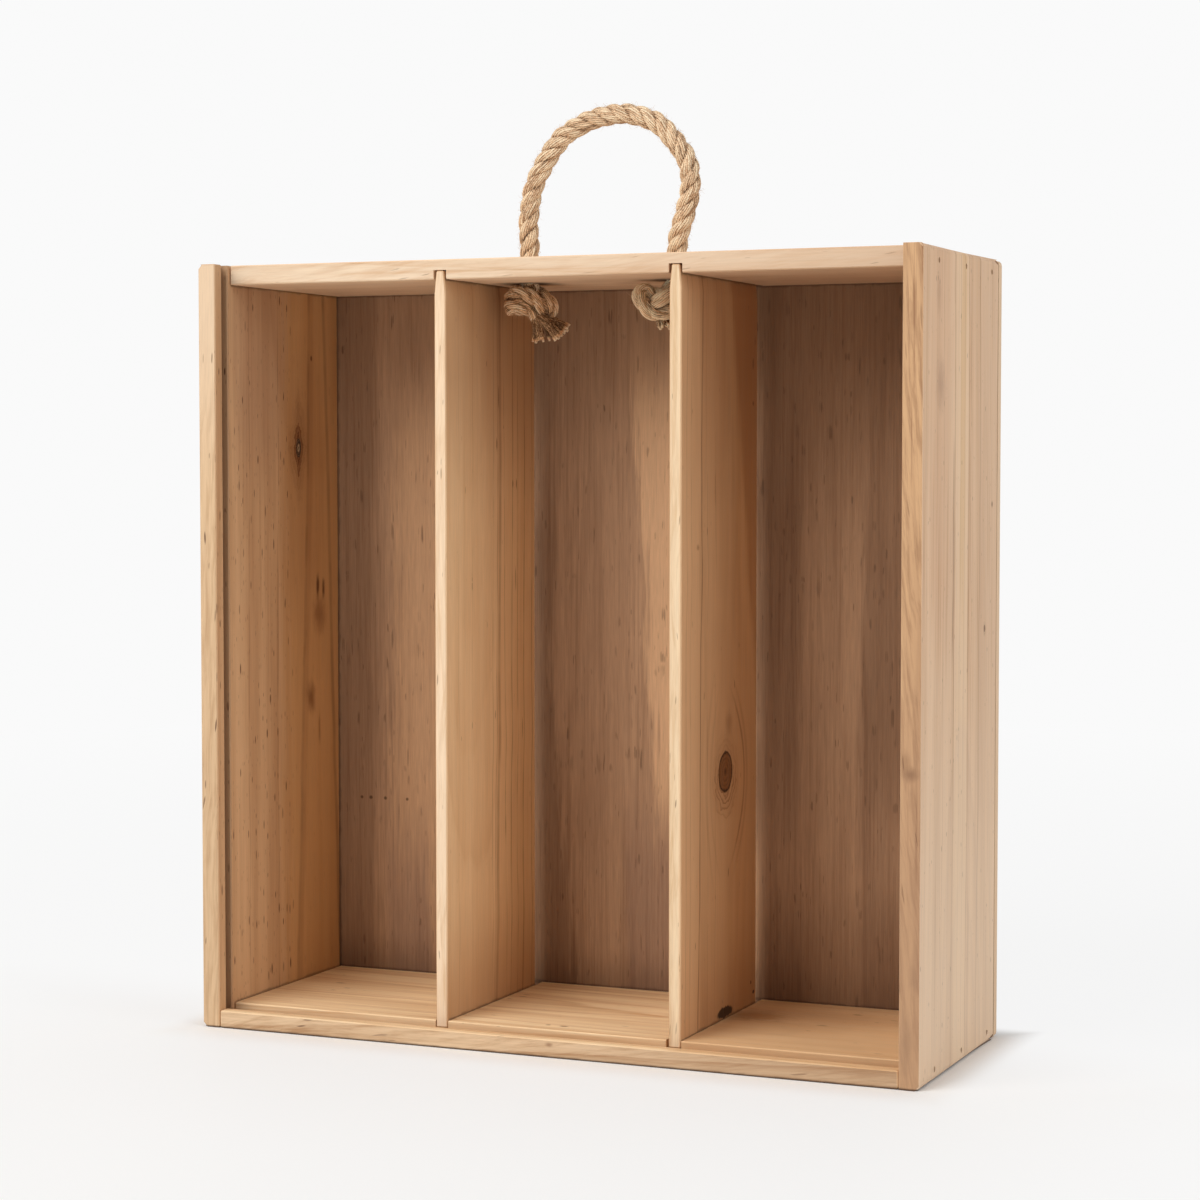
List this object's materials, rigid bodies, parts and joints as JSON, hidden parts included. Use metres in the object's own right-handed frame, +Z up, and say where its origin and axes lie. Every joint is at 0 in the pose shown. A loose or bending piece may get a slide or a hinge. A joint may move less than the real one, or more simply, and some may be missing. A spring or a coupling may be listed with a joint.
{
  "type": "wine case",
  "caption": "Pine wine case that stands on end, open in front with a channel for a sliding lid, upright dividers and a rope carrying handle.",
  "frame": {"origin": "under the middle of the standing case, at the height of what it stands on", "axes": "+X along the width, to the right seen from the open front; -Y out of the open front; +Z up"},
  "size_m": [0.3426, 0.1226, 0.4204],
  "materials": {
    "side_board": "bare planed pine, edge-glued strips, grain upright",
    "top_board": "bare planed pine, grain along the width",
    "bottom_board": "bare planed pine, grain along the width",
    "divider": "bare planed pine, grain upright, a few knots",
    "back_panel": "bare thin board, darker brown, fine dark pores along an upright grain",
    "rope": "three-strand natural fibre rope, matt and hairy",
    "brad": "dull dark steel"
  },
  "bodies": {
    "case": {"left_side": "side_board", "right_side": "side_board", "top_board": "top_board", "bottom_board": "bottom_board", "back_panel": "back_panel", "divider_left": "divider", "divider_right": "divider", "rope_end_left": "rope", "rope_end_right": "rope", "brad_left_top_1": "brad", "brad_left_top_2": "brad", "brad_left_top_3": "brad", "brad_left_bottom_1": "brad", "brad_left_bottom_2": "brad", "brad_left_bottom_3": "brad", "brad_right_top_1": "brad", "brad_right_top_2": "brad", "brad_right_top_3": "brad", "brad_right_bottom_1": "brad", "brad_right_bottom_2": "brad", "brad_right_bottom_3": "brad", "brad_back_side_1": "brad", "brad_back_side_2": "brad", "brad_back_side_3": "brad", "brad_back_side_4": "brad", "brad_back_side_5": "brad", "brad_back_side_6": "brad", "brad_back_side_7": "brad", "brad_back_side_8": "brad", "brad_back_top_1": "brad", "brad_back_top_2": "brad", "brad_back_top_3": "brad", "brad_back_bottom_1": "brad", "brad_back_bottom_2": "brad", "brad_back_bottom_3": "brad"},
    "handle": {"rope_loop": "rope"}
  },
  "joints": [
    {"name": "handle_swing", "type": "hinge", "parent": "case", "child": "handle", "pos_m": [0, 0, 0.35455], "axis": [1, 0, 0], "range_deg": [-88, 88]}
  ]
}
